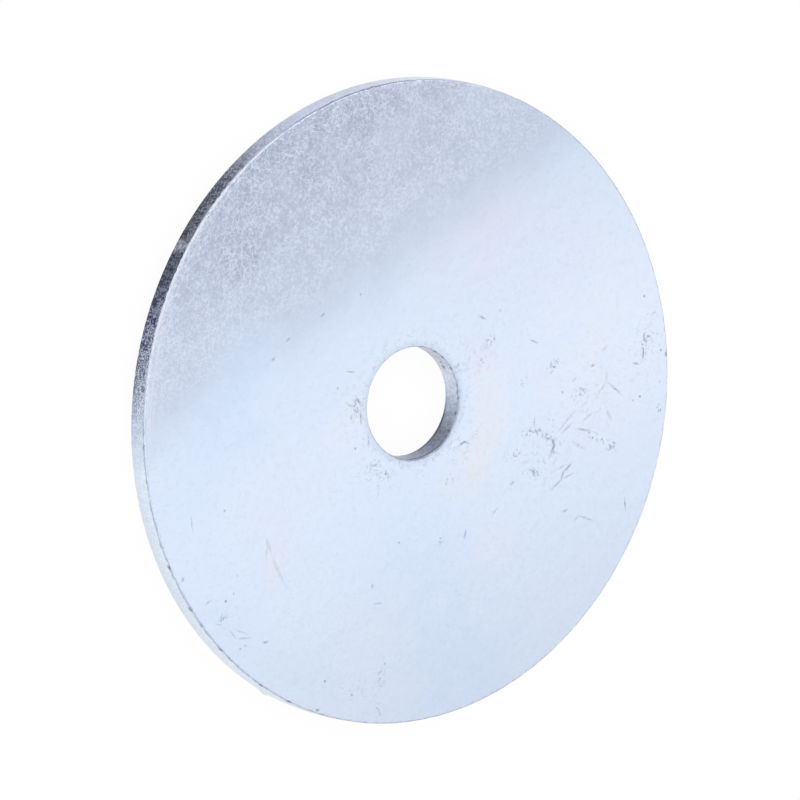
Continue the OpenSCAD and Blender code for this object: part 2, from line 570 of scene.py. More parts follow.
def outline_mesh(shape):
    """A loop of edges that the sweep turns about the hole's axis. Its x starts at the hole's smooth band
    and its y runs down, as a curve's profile does."""
    points = washer_outline(shape)
    mesh = bpy.data.meshes.new("washer_section")
    count = len(points)
    mesh.from_pydata(
        [(radius - shape.hole_radius, -height, 0) for radius, height, _ in points],
        [(i, (i + 1) % count) for i in range(count)],
        [],
    )
    ragged = mesh.attributes.new("ragged", "FLOAT", "POINT")
    ragged.data.foreach_set("value", [point[2] for point in points])
    return mesh


def sweep_tree():
    """Geometry nodes that turn a section about the Z axis, bite its ragged edges and give it its metal."""
    tree = bpy.data.node_groups.new("turned_and_torn", "GeometryNodeTree")
    sockets = tree.interface
    sockets.new_socket("Section", in_out="INPUT", socket_type="NodeSocketGeometry")
    for name, kind in (
        ("Path Radius", "NodeSocketFloat"),
        ("Turn Steps", "NodeSocketInt"),
        ("Ragged Depth", "NodeSocketFloat"),
        ("Ragged Length", "NodeSocketFloat"),
        ("Seed", "NodeSocketInt"),
        ("Nub Place", "NodeSocketVector"),
        ("Nub Size", "NodeSocketFloat"),
        ("Nub Height", "NodeSocketFloat"),
        ("Face Metal", "NodeSocketMaterial"),
        ("Edge Metal", "NodeSocketMaterial"),
    ):
        sockets.new_socket(name, in_out="INPUT", socket_type=kind)
    sockets.new_socket("Washer", in_out="OUTPUT", socket_type="NodeSocketGeometry")
    given = add(tree, "NodeGroupInput").outputs

    section = add(tree, "GeometryNodeMeshToCurve", {"Mesh": given["Section"]})
    path = add(
        tree,
        "GeometryNodeCurvePrimitiveCircle",
        {"Resolution": given["Turn Steps"], "Radius": given["Path Radius"]},
    )
    swept = add(
        tree, "GeometryNodeCurveToMesh", {"Curve": path.outputs["Curve"], "Profile Curve": section}
    )

    # Bites: noise along the edge, kept where it is strong, pulls ragged points into the metal and half as
    # far down
    bite_starts, bite_full, down_per_inward = 0.42, 0.8, -0.5
    place = add(tree, "GeometryNodeInputPosition")
    per_bite = add(tree, "ShaderNodeMath", {0: 1.0, 1: given["Ragged Length"]}, operation="DIVIDE")
    spread = add(tree, "ShaderNodeVectorMath", {0: place, "Scale": per_bite}, operation="SCALE")
    coarse = add(
        tree,
        "ShaderNodeTexNoise",
        {"Vector": spread, "W": given["Seed"], "Scale": 1.0, "Detail": 4.0, "Roughness": 0.7},
        noise_dimensions="4D",
    )
    bite = add(
        tree,
        "ShaderNodeMapRange",
        {"Value": coarse.outputs["Fac"], "From Min": bite_starts, "From Max": bite_full},
        interpolation_type="SMOOTHSTEP",
    )
    ragged = add(tree, "GeometryNodeInputNamedAttribute", {"Name": "ragged"}, data_type="FLOAT")
    depth = add(tree, "ShaderNodeMath", {0: bite, 1: given["Ragged Depth"]}, operation="MULTIPLY")
    inward = add(tree, "ShaderNodeMath", {0: depth, 1: ragged}, operation="MULTIPLY")
    down = add(tree, "ShaderNodeMath", {0: inward}, operation="ABSOLUTE")
    from_nub = add(tree, "ShaderNodeVectorMath", {0: place, 1: given["Nub Place"]}, operation="DISTANCE")
    swell = add(
        tree,
        "ShaderNodeMapRange",
        {
            "Value": from_nub.outputs["Value"],
            "From Max": given["Nub Size"],
            "To Min": given["Nub Height"],
            "To Max": 0.0,
        },
        interpolation_type="SMOOTHSTEP",
    )
    inward = add(tree, "ShaderNodeMath", {0: inward, 1: swell}, operation="ADD")
    down = add(tree, "ShaderNodeMath", {0: down, 1: down_per_inward}, operation="MULTIPLY")
    apart = add(tree, "ShaderNodeSeparateXYZ", {0: place})
    flat = add(tree, "ShaderNodeCombineXYZ", {"X": apart.outputs["X"], "Y": apart.outputs["Y"]})
    outward = add(tree, "ShaderNodeVectorMath", {0: flat}, operation="NORMALIZE")
    sideways = add(tree, "ShaderNodeVectorMath", {0: outward, "Scale": inward}, operation="SCALE")
    lowered = add(tree, "ShaderNodeCombineXYZ", {"Z": down})
    move = add(tree, "ShaderNodeVectorMath", {0: sideways, 1: lowered}, operation="ADD")
    bitten = add(tree, "GeometryNodeSetPosition", {"Geometry": swept, "Offset": move})

    # What points nearly straight up or down is face. The walls' metal takes the rest, with the steeper part
    # of each corner
    flat_from = 0.85
    normal = add(tree, "GeometryNodeInputNormal")
    upright = add(tree, "ShaderNodeSeparateXYZ", {0: normal})
    flatness = add(tree, "ShaderNodeMath", {0: upright.outputs["Z"]}, operation="ABSOLUTE")
    is_wall = add(
        tree, "FunctionNodeCompare", {0: flatness, 1: flat_from}, data_type="FLOAT", operation="LESS_THAN"
    )
    shaded = add(tree, "GeometryNodeSetShadeSmooth", {"Geometry": bitten, "Shade Smooth": True})
    real = add(tree, "GeometryNodeRealizeInstances", {"Geometry": shaded})
    faces = add(tree, "GeometryNodeSetMaterial", {"Geometry": real, "Material": given["Face Metal"]})
    walls = add(
        tree,
        "GeometryNodeSetMaterial",
        {"Geometry": faces, "Selection": is_wall, "Material": given["Edge Metal"]},
    )
    add(tree, "NodeGroupOutput", {"Washer": walls})
    return tree


def linked(name, data):
    """A new object with the data, linked to the scene."""
    thing = bpy.data.objects.new(name, data)
    bpy.context.scene.collection.objects.link(thing)
    return thing


def run_tree(name, start_mesh, tree, values):
    """The plain mesh object that a geometry tree makes of a mesh, with its inputs set by name."""
    carrier = linked(f"{name}_source", start_mesh)
    modifier = carrier.modifiers.new("sweep", "NODES")
    modifier.node_group = tree
    for item in tree.interface.items_tree:
        if item.item_type == "SOCKET" and item.in_out == "INPUT" and item.name in values:
            modifier[item.identifier] = values[item.name]
    graph = bpy.context.evaluated_depsgraph_get()
    mesh = bpy.data.meshes.new_from_object(carrier.evaluated_get(graph))
    bpy.data.objects.remove(carrier)
    bpy.data.node_groups.remove(tree)
    mesh.name = name
    for left_over in [a.name for a in mesh.attributes if a.name in ("ragged", "shade_smooth")]:
        mesh.attributes.remove(mesh.attributes[left_over])
    return linked(name, mesh)


def new_material(name):
    """An empty node material and its tree."""
    material = bpy.data.materials.new(name)
    material.use_nodes = True
    material.node_tree.nodes.clear()
    return material, material.node_tree


def place_in_mm(tree):
    """Object coordinates in millimetres."""
    here = add(tree, "ShaderNodeTexCoord").outputs["Object"]
    return add(tree, "ShaderNodeVectorMath", {0: here, "Scale": 1 / MM}, operation="SCALE")


def warped(tree, place, grain, reach):
    """Places moved about by up to reach, so that what is drawn there comes out uneven. Both in mm."""
    noise = add(tree, "ShaderNodeTexNoise", {"Vector": place, "Scale": 1 / grain, "Detail": 2.0})
    about = add(
        tree, "ShaderNodeVectorMath", {0: noise.outputs["Color"], 1: (-0.5, -0.5, -0.5)}, operation="ADD"
    )
    about = add(tree, "ShaderNodeVectorMath", {0: about, "Scale": 2 * reach}, operation="SCALE")
    return add(tree, "ShaderNodeVectorMath", {0: place, 1: about}, operation="ADD")


def hairlines(tree, place, cell, width, shift):
    """One hairline scratch in each cell, at an angle of its own: up to 1 on the line. Sizes in mm."""
    place = add(tree, "ShaderNodeVectorMath", {0: place, 1: (shift, -shift, 0)}, operation="ADD")
    cells = add(
        tree, "ShaderNodeTexVoronoi", {"Vector": place, "Scale": 1 / cell}, voronoi_dimensions="2D"
    )
    chance = add(tree, "ShaderNodeSeparateColor", {0: cells.outputs["Color"]}).outputs
    turn = add(tree, "ShaderNodeMath", {0: chance["Red"], 1: math.tau}, operation="MULTIPLY")
    offset = add(
        tree, "ShaderNodeVectorMath", {0: place, 1: cells.outputs["Position"]}, operation="SUBTRACT"
    )
    turned = add(
        tree, "ShaderNodeVectorRotate", {"Vector": offset, "Angle": turn}, rotation_type="Z_AXIS"
    )
    across = add(tree, "ShaderNodeSeparateXYZ", {0: turned})
    off_line = add(tree, "ShaderNodeMath", {0: across.outputs["Y"]}, operation="ABSOLUTE")
    return add(
        tree,
        "ShaderNodeMapRange",
        {"Value": off_line, "From Max": width, "To Min": chance["Green"], "To Max": 0.0},
    )


def curls(tree, place, size, width, shift):
    """Thin curling strokes, broken at random: up to 1 on the stroke. Sizes in mm, a curl's and its line's."""
    place = add(tree, "ShaderNodeVectorMath", {0: place, 1: (shift, shift, 0)}, operation="ADD")
    waves = add(
        tree,
        "ShaderNodeTexNoise",
        {"Vector": place, "Scale": 1 / size, "Detail": 1.0},
        noise_dimensions="2D",
    )
    # The noise rises by about 0.6 over one curl, so that is how fast it leaves its middle value
    off_line = add(tree, "ShaderNodeMath", {0: waves.outputs["Fac"], 1: 0.5}, operation="SUBTRACT")
    off_line = add(tree, "ShaderNodeMath", {0: off_line}, operation="ABSOLUTE")
    line = add(
        tree,
        "ShaderNodeMapRange",
        {"Value": off_line, "From Max": 0.6 * width / size, "To Min": 1.0, "To Max": 0.0},
    )
    gaps = add(
        tree,
        "ShaderNodeTexNoise",
        {"Vector": place, "Scale": 0.9 / size, "Detail": 0.0},
        noise_dimensions="2D",
    )
    kept = add(
        tree, "ShaderNodeMapRange", {"Value": gaps.outputs["Fac"], "From Min": 0.5, "From Max": 0.58}
    )
    return add(tree, "ShaderNodeMath", {0: line, 1: kept}, operation="MULTIPLY")


def marks(tree, place, ellipses, shape):
    """Soft-edged ellipses laid on the top face, summed. Each is centre x, y, half length, half width,
    angle and strength, in mm and radians."""
    height = shape.thickness / MM
    total = 0.0
    for x, y, half_length, half_width, angle, strength in ellipses:
        here = add(
            tree,
            "ShaderNodeMapping",
            {
                "Vector": place,
                "Location": (x, y, height),
                "Rotation": (0, 0, angle),
                "Scale": (half_length, half_width, 1.0),
            },
            vector_type="TEXTURE",
        )
        ball = add(tree, "ShaderNodeTexGradient", {"Vector": here}, gradient_type="SPHERICAL")
        total = add(
            tree,
            "ShaderNodeMath",
            {0: ball.outputs["Fac"], 1: strength, 2: total},
            operation="MULTIPLY_ADD",
        )
    return total


def stroke_ellipses(strokes):
    """Strokes as ellipses for marks()."""
    for x1, y1, x2, y2, width, depth in strokes:
        half = math.hypot(x2 - x1, y2 - y1) / 2 + width
        yield (x1 + x2) / 2, (y1 + y2) / 2, half, width, math.atan2(y2 - y1, x2 - x1), depth


def pit_ellipses():
    """The pits as ellipses for marks()."""
    for x, y, width, depth in PITS:
        yield x, y, width, width, 0.0, depth


def patch_ellipses(patches):
    """Patches as ellipses for marks()."""
    for x, y, half_width, half_height, strength in patches:
        yield x, y, half_width, half_height, 0.0, strength


def mixed(tree, share, first, second):
    """One colour laid over another by a share from 0 to 1. Each is a socket, a node or a colour."""
    first, second = ([*c, 1.0] if isinstance(c, list) else c for c in (first, second))
    inputs = {MIX_FACTOR: share, MIX_A: first, MIX_B: second}
    return add(tree, "ShaderNodeMix", inputs, data_type="RGBA").outputs[MIX_RESULT]


def around(tree, place):
    """Distance from the hole's axis in mm, and the share of a turn from -X."""
    flat = add(tree, "ShaderNodeVectorMath", {0: place, 1: (1, 1, 0)}, operation="MULTIPLY")
    reach = add(tree, "ShaderNodeVectorMath", {0: flat}, operation="LENGTH").outputs["Value"]
    turn = add(tree, "ShaderNodeTexGradient", {"Vector": place}, gradient_type="RADIAL").outputs["Fac"]
    return reach, turn


def between_edges(shape):
    """The radius halfway between the hole and the rim, in mm."""
    return (shape.outer_radius + shape.hole_radius) / 2 / MM


def edge_painted_shade(tree, reach, turn, shape, column):
    """A colour out of the painted shade table of the rim or of the hole, whichever edge is nearer."""
    on_rim = add(tree, "ShaderNodeMath", {0: reach, 1: between_edges(shape)}, operation="GREATER_THAN")
    hole, rim = (
        add(
            tree,
            "ShaderNodeValToRGB",
            {"Fac": turn},
            stops=[(row[0] / 360, linear(row[column])) for row in table],
        ).outputs["Color"]
        for table in (HOLE_PAINTED_SHADES, RIM_PAINTED_SHADES)
    )
    return mixed(tree, on_rim, hole, rim)


def dulled_and_dimmed_zone(tree, place):
    """How dull tumbling has left the face, with a painted reflection of dim surroundings over it, how much of
    its texture shows and where it is dullest and dimmest, each from 0 to 1. All three grow past a line that
    runs slantwise left of the hole and below it."""
    across_line = (-0.74, -0.673, 0)
    spans_past_axis = ((7.5, 13.5), (10.6, 14.8), (13.0, 25.0))
    drifting = warped(tree, place, grain=3.5, reach=1.6)
    past_line = add(
        tree, "ShaderNodeVectorMath", {0: drifting, 1: across_line}, operation="DOT_PRODUCT"
    )
    return [
        add(
            tree,
            "ShaderNodeMapRange",
            {"Value": past_line.outputs["Value"], "From Min": start, "From Max": end},
            interpolation_type="SMOOTHSTEP",
        )
        for start, end in spans_past_axis
    ]


def scuffs_and_dents(tree, place, small_curls, loose_curls, reach, shape):
    """Scratches, pits, dents and clusters of knocks, which show dark: from 0 to 1."""
    scratch_gain, dent_gain, cluster_share, stray_share = 1.6, 2.2, 0.42, 0.07
    shaky = warped(tree, place, grain=0.35, reach=0.07)
    thin = marks(tree, shaky, [*stroke_ellipses(SCRATCHES), *pit_ellipses()], shape)
    worn_through = add(
        tree,
        "ShaderNodeTexNoise",
        {"Vector": place, "Scale": 1 / WORN_GRAIN, "Detail": 2.0, "Roughness": 0.6},
    )
    worn_through = add(
        tree, "ShaderNodeMapRange", {"Value": worn_through.outputs["Fac"], "From Min": 0.3, "From Max": 0.5}
    )
    thin = add(tree, "ShaderNodeMath", {0: thin, 1: worn_through}, operation="MULTIPLY")
    thin = add(tree, "ShaderNodeMath", {0: thin, 1: scratch_gain}, operation="MULTIPLY")

    dents = marks(tree, place, stroke_ellipses(DENTS), shape)
    dents = add(tree, "ShaderNodeMath", {0: dents, 1: dent_gain}, operation="MULTIPLY", use_clamp=True)
    dents = add(tree, "ShaderNodeMath", {0: dents, 1: small_curls}, operation="MULTIPLY")
    thin = add(tree, "ShaderNodeMath", {0: thin, 1: dents}, operation="MAXIMUM")

    edge = shape.hole_radius / MM
    by_hole = add(
        tree,
        "ShaderNodeMapRange",
        {"Value": reach, "From Min": edge + 0.3, "From Max": edge + 2.2, "To Min": 0.3, "To Max": 0.0},
    )
    clusters = marks(tree, place, patch_ellipses(CLUSTERS), shape)
    clusters = add(tree, "ShaderNodeMath", {0: clusters, 1: cluster_share}, operation="MULTIPLY")
    clusters = add(tree, "ShaderNodeMath", {0: clusters, 1: by_hole}, operation="MAXIMUM")
    clusters = add(tree, "ShaderNodeMath", {0: clusters, 1: stray_share}, operation="MAXIMUM")
    knocks = add(tree, "ShaderNodeMath", {0: clusters, 1: loose_curls}, operation="MULTIPLY")
    return add(tree, "ShaderNodeMath", {0: thin, 1: knocks}, operation="MAXIMUM", use_clamp=True)


def rubbed_sheen_band(tree, reach, turn, clouds, shape):
    """Where the parts rubbed each other in the barrel and a painted sheen of the face's slightly rounded edge
    lies, along an arc of the rim: from 0 to 1. It is patchy, as the clouds are, with faint streaks along the
    rim."""
    patchy = add(tree, "ShaderNodeMapRange", {"Value": clouds, "To Min": 0.4, "To Max": 0.1})
    # A streak is about 0.15 mm wide and 3 mm long
    streaks_per_mm, streaks_per_turn = 7, 50
    stretch = (streaks_per_mm, streaks_per_turn, 0)
    polar = add(tree, "ShaderNodeCombineXYZ", {"X": reach, "Y": turn})
    stretched = add(tree, "ShaderNodeVectorMath", {0: polar, 1: stretch}, operation="MULTIPLY")
    streaks = add(tree, "ShaderNodeTexNoise", {"Vector": stretched, "Scale": 1.0, "Detail": 2.0})
    streaks = add(
        tree,
        "ShaderNodeMapRange",
        {"Value": streaks.outputs["Fac"], "From Min": 0.5, "From Max": 0.6, "To Max": 0.7},
    )
    patchy = add(tree, "ShaderNodeMath", {0: patchy, 1: streaks}, operation="ADD")
    edge = shape.outer_radius / MM
    near_rim = add(
        tree, "ShaderNodeMapRange", {"Value": reach, "From Min": edge - 1.2, "From Max": edge - 0.2}
    )
    sheen_turn = add(tree, "ShaderNodeValToRGB", {"Fac": turn}, stops=grey_stops(RUBBED_SHEEN_ARC, 0, 360))
    rubbed_sheen = add(tree, "ShaderNodeMath", {0: near_rim, 1: sheen_turn}, operation="MULTIPLY")
    return add(tree, "ShaderNodeMath", {0: rubbed_sheen, 1: patchy}, operation="MULTIPLY")


def tinted(tree, place, finish, shape):
    """The zinc's colour with the passivate's faint tints."""
    strongest = 0.8
    drifting = warped(tree, place, grain=4.0, reach=1.6)
    colour = list(finish.zinc)
    for tint, patches in (
        (finish.straw, STRAW_PATCHES),
        (finish.rosy, ROSY_PATCHES),
        (finish.blue, BLUE_PATCHES),
    ):
        patch = marks(tree, drifting, patch_ellipses(patches), shape)
        patch = add(tree, "ShaderNodeMath", {0: patch, 1: strongest}, operation="MINIMUM")
        colour = mixed(tree, patch, colour, list(tint))
    return colour


def end_metal(tree, colour, roughness, height):
    """Ends a metal's tree with its colour, its roughness and the height of its surface in mm."""
    bump = add(tree, "ShaderNodeBump", {"Strength": 1.0, "Distance": MM, "Height": height})
    shader = add(
        tree,
        "ShaderNodeBsdfPrincipled",
        {"Base Color": colour, "Metallic": 1.0, "Roughness": roughness, "Normal": bump},
    )
    add(tree, "ShaderNodeOutputMaterial", {"Surface": shader})


def face_metal(finish, shape):
    """Bright zinc electroplate with a pale blue passivate, on rolled sheet that was tumbled in a barrel.
    The eye sees a cool satin mirror, hairlines that catch light off the lamps, and dark little scuffs. Its
    colour also holds painted reflection, shade and highlight: a dim zone, a shaded ring by the hole, a sheen
    by the rim, glints on the lines and the edges' shade on the flat."""
    material, tree = new_material("zinc_plate_tumbled")
    place = place_in_mm(tree)
    reach, turn = around(tree, place)
    depth = finish.hairline_depth / MM
    dulled_and_dimmed, textured, dullest_and_dimmest = dulled_and_dimmed_zone(tree, place)
    drifting = warped(tree, place, grain=1.5, reach=0.6)
    blotches, bright = (
        marks(tree, drifting, patch_ellipses(patches), shape) for patches in (DULLED_AND_DIMMED_BLOTCHES, UNDULLED_AND_UNDIMMED_PATCHES)
    )
    dullest_and_dimmest = add(tree, "ShaderNodeMath", {0: dullest_and_dimmest, 1: blotches}, operation="ADD", use_clamp=True)
    dulled_and_dimmed = add(tree, "ShaderNodeMath", {0: dulled_and_dimmed, 1: bright}, operation="SUBTRACT", use_clamp=True)

    # Tumbling marks of a few hundredths of a mm would not show, so they are drawn 0.05 to 0.07 mm wide
    curl_weight = 0.45
    bent = warped(tree, place, grain=0.8, reach=0.07)
    small_curls = curls(tree, bent, size=0.3, width=0.07, shift=0.0)
    loose_curls = curls(tree, bent, size=0.5, width=0.07, shift=13.0)
    wide_curls = curls(tree, bent, size=0.8, width=0.06, shift=41.0)
    lines = add(tree, "ShaderNodeMath", {0: loose_curls, 1: wide_curls}, operation="MAXIMUM")
    lines = add(tree, "ShaderNodeMath", {0: lines, 1: curl_weight}, operation="MULTIPLY")
    for cell, shift in ((0.8, 0.0), (0.5, 31.7), (0.34, 57.1)):
        layer = hairlines(tree, bent, cell, width=0.05, shift=shift)
        lines = add(tree, "ShaderNodeMath", {0: lines, 1: layer}, operation="MAXIMUM")
    scuffs = scuffs_and_dents(tree, place, small_curls, loose_curls, reach, shape)

    # Cloudy dulling, with a fine mottle in it, and with it a painted reflection of dim surroundings that is
    # darkest towards the rim on the -X, -Y side
    mottle_weight, usual_matt, matt_swing = 1.5, 0.72, 0.42
    clouds = add(
        tree,
        "ShaderNodeTexNoise",
        {"Vector": place, "Scale": 1 / CLOUD_GRAIN, "Detail": 5.0, "Roughness": 0.7},
    )
    mottle = add(
        tree,
        "ShaderNodeTexNoise",
        {"Vector": place, "Scale": 1 / MOTTLE_GRAIN, "Detail": 2.0, "Roughness": 0.7},
    )
    clouds = add(
        tree,
        "ShaderNodeMath",
        {0: mottle.outputs["Fac"], 1: mottle_weight, 2: clouds.outputs["Fac"]},
        operation="MULTIPLY_ADD",
    )
    clouds = add(tree, "ShaderNodeMapRange", {"Value": clouds, "From Min": 1.0, "From Max": 1.5})
    swing = add(tree, "ShaderNodeMapRange", {"Value": clouds, "To Min": -matt_swing, "To Max": matt_swing})
    matt_and_dim_share = add(tree, "ShaderNodeMath", {0: swing, 1: textured, 2: usual_matt}, operation="MULTIPLY_ADD")
    matt_and_dim_share = add(tree, "ShaderNodeMath", {0: matt_and_dim_share, 1: dulled_and_dimmed}, operation="MULTIPLY")
    colour = mixed(tree, matt_and_dim_share, tinted(tree, place, finish, shape), list(finish.dulled_and_dimmed))
    # The deepest colour is mostly painted reflection of dim surroundings
    dullest_and_dimmest_share = add(tree, "ShaderNodeMath", {0: matt_and_dim_share, 1: dullest_and_dimmest}, operation="MULTIPLY")
    dullest_and_dimmest_share = add(tree, "ShaderNodeMath", {0: dullest_and_dimmest_share, 1: 0.7}, operation="MULTIPLY")
    colour = mixed(tree, dullest_and_dimmest_share, colour, list(finish.dullest_and_dimmest))
    # The lines are burnished bright and painted brighter as glints, a painted highlight, most of all where
    # the zinc about them is dullest and the clouds are thin
    stand_out = add(tree, "ShaderNodeMath", {0: dullest_and_dimmest, 1: 0.5, 2: 0.58}, operation="MULTIPLY_ADD")
    stand_out = add(tree, "ShaderNodeMath", {0: stand_out, 1: textured}, operation="MULTIPLY")
    thin_clouds = add(tree, "ShaderNodeMapRange", {"Value": clouds, "To Min": 1.0, "To Max": 0.5})
    burnished_and_glinting = add(tree, "ShaderNodeMath", {0: lines, 1: stand_out}, operation="MULTIPLY")
    burnished_and_glinting = add(tree, "ShaderNodeMath", {0: burnished_and_glinting, 1: thin_clouds}, operation="MULTIPLY")
    colour = mixed(tree, burnished_and_glinting, colour, list(finish.burnished_and_sheen))

    # A faint cloudiness all over, and a ring of painted shade where the face dips as the hole's edge draws
    # in, broadest on the far right side
    edge = shape.hole_radius / MM
    to_far_right = add(
        tree, "ShaderNodeVectorMath", {0: place, 1: (0.766, 0.643, 0)}, operation="DOT_PRODUCT"
    )
    from_hole = add(
        tree,
        "ShaderNodeMath",
        {0: to_far_right.outputs["Value"], 1: -0.02, 2: reach},
        operation="MULTIPLY_ADD",
    )
    drawn_in_shade = add(
        tree,
        "ShaderNodeMapRange",
        {"Value": from_hole, "From Min": edge + 0.15, "From Max": edge + 0.75, "To Min": 0.6, "To Max": 0.0},
    )
    faint_clouds_and_ring_shade = add(tree, "ShaderNodeMath", {0: clouds, 1: 0.08, 2: drawn_in_shade}, operation="MULTIPLY_ADD")
    colour = mixed(tree, faint_clouds_and_ring_shade, colour, list(finish.dulled_and_dimmed))
    # A painted sheen by the rim, over the rubbed zinc
    rubbed_sheen = rubbed_sheen_band(tree, reach, turn, clouds, shape)
    colour = mixed(tree, rubbed_sheen, colour, list(finish.burnished_and_sheen))

    # The edges' painted highlight and shade from the tables' corner colours run onto the flat, along a ragged
    # line
    ragged = add(tree, "ShaderNodeTexNoise", {"Vector": place, "Scale": 1 / RAGGED_GRAIN, "Detail": 2.0})
    hole_line, rim_line = (
        add(tree, "ShaderNodeMath", {0: ragged.outputs["Fac"], 1: 0.3, 2: out}, operation="MULTIPLY_ADD")
        for out in (from_hole, reach)
    )
    by_hole = add(
        tree,
        "ShaderNodeMapRange",
        {"Value": hole_line, "From Min": edge + 0.2, "From Max": edge + 0.34, "To Min": 1.0, "To Max": 0.0},
    )
    rim = shape.outer_radius / MM
    by_rim = add(
        tree, "ShaderNodeMapRange", {"Value": rim_line, "From Min": rim - 0.07, "From Max": rim + 0.07}
    )
    edge_shade_on_flat = add(tree, "ShaderNodeMath", {0: by_hole, 1: by_rim}, operation="MAXIMUM")
    edge_shade_on_flat = add(tree, "ShaderNodeMath", {0: edge_shade_on_flat, 1: 0.8}, operation="MULTIPLY")
    colour = mixed(tree, edge_shade_on_flat, colour, edge_painted_shade(tree, reach, turn, shape, 3))
    worn = add(tree, "ShaderNodeMath", {0: scuffs, 1: 0.6}, operation="MULTIPLY")
    colour = mixed(tree, worn, colour, list(finish.scuff_and_corner_shade))

    roughness = add(
        tree, "ShaderNodeMath", {0: scuffs, 1: 0.2, 2: finish.roughness}, operation="MULTIPLY_ADD"
    )
    shallowest, peel_height = depth * 0.2, 0.02
    cut = add(tree, "ShaderNodeMath", {0: stand_out, 1: depth, 2: shallowest}, operation="MULTIPLY_ADD")
    lines_cut = add(tree, "ShaderNodeMath", {0: lines, 1: cut}, operation="MULTIPLY")
    peel = add(
        tree,
        "ShaderNodeTexNoise",
        {"Vector": place, "Scale": 1 / PEEL_GRAIN, "Detail": 2.0, "Roughness": 0.5},
    )
    height = add(tree, "ShaderNodeMath", {0: peel.outputs["Fac"], 1: peel_height}, operation="MULTIPLY")
    height = add(tree, "ShaderNodeMath", {0: height, 1: lines_cut}, operation="SUBTRACT")
    end_metal(tree, colour, roughness, height)
    return material


def bare_spots(tree, place):
    """Where the zinc did not take on the sheared walls: from 0 to 1."""
    total = 0.0
    for x, y, z, radius in BARE_SPOTS:
        away = add(tree, "ShaderNodeVectorMath", {0: place, 1: (x, y, z)}, operation="DISTANCE")
        spot = add(
            tree,
            "ShaderNodeMapRange",
            {"Value": away.outputs["Value"], "From Max": radius, "To Min": 1.0, "To Max": 0.0},
        )
        total = add(tree, "ShaderNodeMath", {0: spot, 1: total}, operation="MAXIMUM")
    return total


def foot_shadow(tree, reach, turn, rise, shape):
    """A painted shadow: the thin dark line at the foot of the hole's wall, where it rolls under: from 0 to 1.
    """
    foot = add(
        tree,
        "ShaderNodeMapRange",
        {"Value": rise, "From Min": 0.15, "From Max": 0.5, "To Min": 1.0, "To Max": 0.0},
    )
    in_hole = add(tree, "ShaderNodeMath", {0: reach, 1: between_edges(shape)}, operation="LESS_THAN")
    foot_turn = add(tree, "ShaderNodeValToRGB", {"Fac": turn}, stops=grey_stops(FOOT_SHADOW_ARC, 0, 360))
    foot = add(tree, "ShaderNodeMath", {0: foot, 1: in_hole}, operation="MULTIPLY")
    return add(tree, "ShaderNodeMath", {0: foot, 1: foot_turn}, operation="MULTIPLY")


